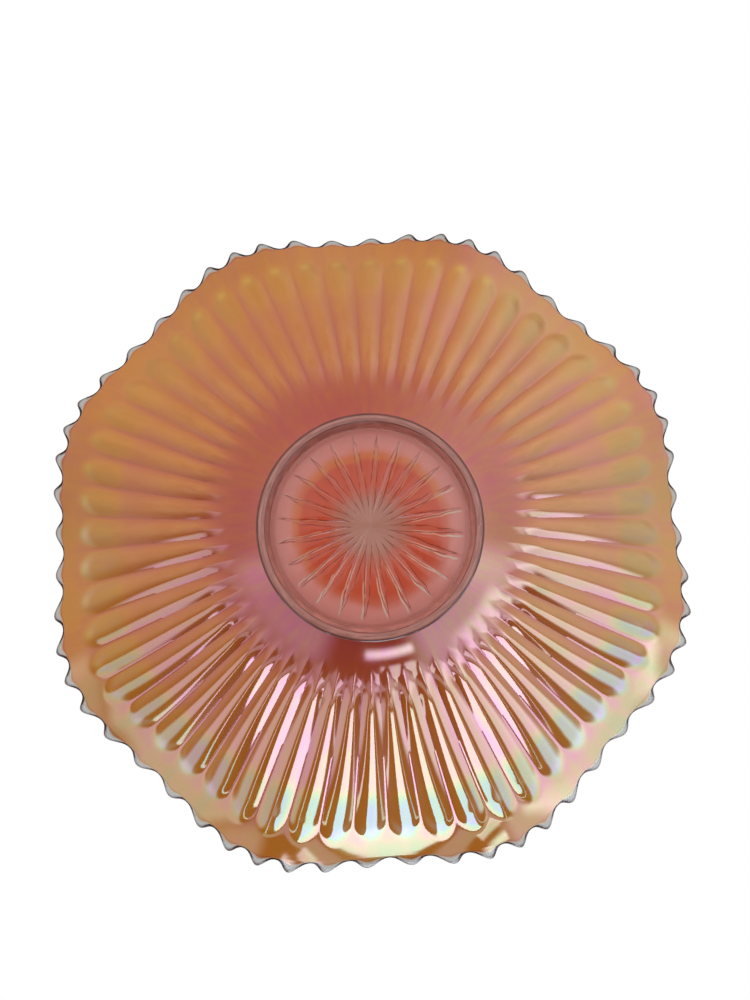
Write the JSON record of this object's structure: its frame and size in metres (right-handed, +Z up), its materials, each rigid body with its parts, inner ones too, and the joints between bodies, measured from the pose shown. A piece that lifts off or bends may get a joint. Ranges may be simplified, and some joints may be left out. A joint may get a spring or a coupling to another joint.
{
  "type": "ruffled glass bowl",
  "caption": "Shallow ruffled pressed-glass bowl with iridescent orange lustre, saw-tooth clear rim, ribbed underside, collar foot and star-cut base.",
  "frame": {"origin": "centre of the foot's resting face, on the table", "axes": "+Z up out of the bowl along its axis; -Y is the front of the bowl"},
  "size_m": [0.2258, 0.2258, 0.055],
  "materials": {
    "lustre_glass": "pressed glass fired with an iridescent orange metallic lustre, pink and cream by turns, redder towards the foot",
    "rim_glass": "clear fire-polished glass, free of lustre",
    "foot_glass": "clear pressed glass with fine scuffs on the resting edge",
    "base_glass": "clear pressed glass over the lustre of the bowl's floor"
  },
  "bodies": {
    "root": {"foot_ring": "foot_glass", "star_base": "base_glass", "bowl_wall": "lustre_glass", "tooth_rim": "rim_glass"}
  },
  "joints": []
}
